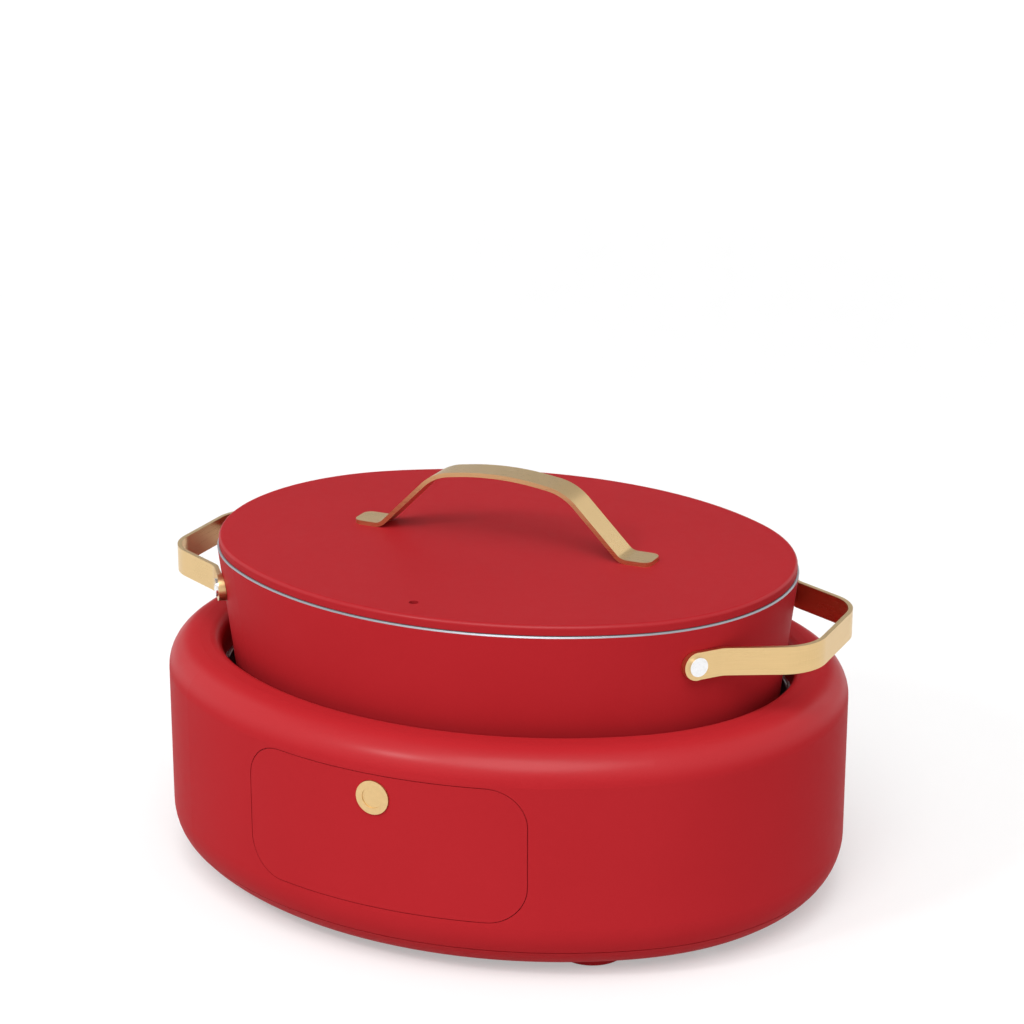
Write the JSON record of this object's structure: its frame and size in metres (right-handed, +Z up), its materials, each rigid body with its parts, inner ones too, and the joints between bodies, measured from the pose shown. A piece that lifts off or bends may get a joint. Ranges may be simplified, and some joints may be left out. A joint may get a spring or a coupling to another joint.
{
  "type": "multicooker",
  "caption": "Oval multicooker: heated base with a flush front panel, lift-out pot with strap handles, perforated rack on folding legs, flat lid with a strap handle",
  "frame": {"origin": "on the floor under the middle of the cooker", "axes": "+X to the right along the oval, +Y to the back, +Z up; the panel faces -Y"},
  "size_m": [0.376, 0.3078, 0.2205],
  "materials": {
    "base_red": "satin moulded red",
    "pot_red": "cast, satin red outside and dark non-stick inside",
    "lid_red": "pressed, satin red outside and dark underneath",
    "panel_lens": "tinted red lens, flush with the wall",
    "brass": "brushed, light gold",
    "rivet_chrome": "polished",
    "rack_steel": "bright pressed sheet and wire",
    "liner_steel": "brushed sheet with a bright lower corner",
    "heater_metal": "dark cast face",
    "element_steel": "oxidised tube",
    "shield_metal": "thin bright sheet",
    "sensor_metal": "turned cap",
    "fuse_body": "pale sleeve",
    "board_green": "bare circuit board",
    "screw_steel": "plain plated",
    "gland_rubber": "moulded, dull black",
    "pad_rubber": "soft dark pad",
    "lip_rubber": "dull dark ring"
  },
  "bodies": {
    "base": {"base_shell": "base_red", "bottom_cover": "base_red", "foot_pads": "pad_rubber", "cover_screws": "screw_steel", "well_liner": "liner_steel", "well_floor": "liner_steel", "heater_plate": "heater_metal", "heating_element": "element_steel", "heat_shield": "shield_metal", "temperature_sensor": "sensor_metal", "thermal_fuse": "fuse_body", "control_panel": "panel_lens", "panel_badge": "brass", "touch_board": "board_green", "power_board": "board_green", "board_screws": "screw_steel", "cord_gland": "gland_rubber"},
    "pot": {"pot_body": "pot_red", "pot_handle_left": "brass", "pot_handle_right": "brass", "pot_rivets": "rivet_chrome"},
    "rack": {"rack_plate": "rack_steel", "leg_clips": "rack_steel"},
    "leg_front_right": {"rack_leg_front_right": "rack_steel"},
    "leg_front_left": {"rack_leg_front_left": "rack_steel"},
    "leg_back_right": {"rack_leg_back_right": "rack_steel"},
    "leg_back_left": {"rack_leg_back_left": "rack_steel"},
    "lid": {"lid_plate": "lid_red", "lid_lip": "lip_rubber", "lid_handle": "brass", "lid_handle_screws": "screw_steel"}
  },
  "joints": [
    {"name": "pot_lift", "type": "slide", "parent": "base", "child": "pot", "axis": [0, 0, 1], "range_m": [0, 0.0875]},
    {"name": "rack_lift", "type": "slide", "parent": "pot", "child": "rack", "axis": [0, 0, 1], "range_m": [0, 0.132]},
    {"name": "lid_lift", "type": "slide", "parent": "rack", "child": "lid", "axis": [0, 0, 1], "range_m": [0, 0.02]},
    {"name": "leg_front_right_fold", "type": "hinge", "parent": "rack", "child": "leg_front_right", "pos_m": [0.10825, -0.04741, 0.0763], "axis": [-0.6428, -0.766, 0], "range_deg": [-85, 0]},
    {"name": "leg_front_left_fold", "type": "hinge", "parent": "rack", "child": "leg_front_left", "pos_m": [-0.10825, -0.04741, 0.0763], "axis": [-0.6428, 0.766, 0], "range_deg": [-85, 0]},
    {"name": "leg_back_right_fold", "type": "hinge", "parent": "rack", "child": "leg_back_right", "pos_m": [0.10825, 0.04741, 0.0763], "axis": [0.6428, -0.766, 0], "range_deg": [-85, 0]},
    {"name": "leg_back_left_fold", "type": "hinge", "parent": "rack", "child": "leg_back_left", "pos_m": [-0.10825, 0.04741, 0.0763], "axis": [0.6428, 0.766, 0], "range_deg": [-85, 0]}
  ]
}
